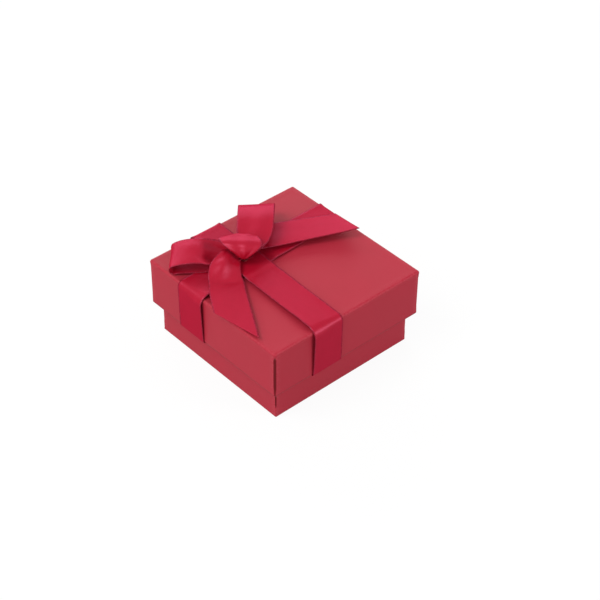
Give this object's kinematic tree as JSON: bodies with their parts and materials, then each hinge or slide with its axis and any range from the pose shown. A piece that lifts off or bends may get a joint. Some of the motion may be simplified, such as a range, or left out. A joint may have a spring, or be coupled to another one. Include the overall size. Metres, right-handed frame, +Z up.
{
  "type": "ring gift box",
  "caption": "Square paper-covered gift box for a ring: a tray with a slit foam pad inside, and a lift-off lid wrapped in crossed ribbon with a flat bow on top.",
  "frame": {"origin": "middle of the tray's flat underside, on the surface that the box stands on", "axes": "+Z up, the way the lid lifts off; +X and +Y square to the walls, with -Y the front wall and -X the left wall, the two walls that the picture shows"},
  "size_m": [0.0548, 0.0526, 0.0318],
  "materials": {
    "red_paper": "matte red covering paper with a fine grain",
    "satin_ribbon": "satin woven, soft sheen across its width",
    "grey_board": "raw greyboard",
    "corner_tape": "matte kraft paper tape",
    "pad_foam": "fine open-cell foam",
    "pad_velvet": "flocked velvet",
    "white_lining": "uncoated white paper",
    "clear_glue": "set hot-melt glue"
  },
  "bodies": {
    "tray": {"tray_board": "grey_board", "tray_corner_stay_front_left": "corner_tape", "tray_corner_stay_front_right": "corner_tape", "tray_corner_stay_back_left": "corner_tape", "tray_corner_stay_back_right": "corner_tape", "tray_wrap": "red_paper"},
    "ring_pad": {"ring_pad_foam": "pad_foam", "ring_pad_velvet": "pad_velvet"},
    "lid": {"lid_board": "grey_board", "lid_corner_stay_front_left": "corner_tape", "lid_corner_stay_front_right": "corner_tape", "lid_corner_stay_back_left": "corner_tape", "lid_corner_stay_back_right": "corner_tape", "lid_wrap": "red_paper", "lid_lining": "white_lining", "ribbon_long_band": "satin_ribbon", "ribbon_cross_band": "satin_ribbon", "bow_knot": "satin_ribbon", "bow_loop_left": "satin_ribbon", "bow_loop_back": "satin_ribbon", "bow_tail_front": "satin_ribbon", "bow_tail_right": "satin_ribbon", "bow_glue_dot": "clear_glue"}
  },
  "joints": [
    {"name": "pad_lifts_out", "type": "slide", "parent": "tray", "child": "ring_pad", "axis": [0, 0, 1], "range_m": [0, 0.026]},
    {"name": "lid_lifts_off", "type": "slide", "parent": "ring_pad", "child": "lid", "axis": [0, 0, 1], "range_m": [0, 0.03]}
  ]
}
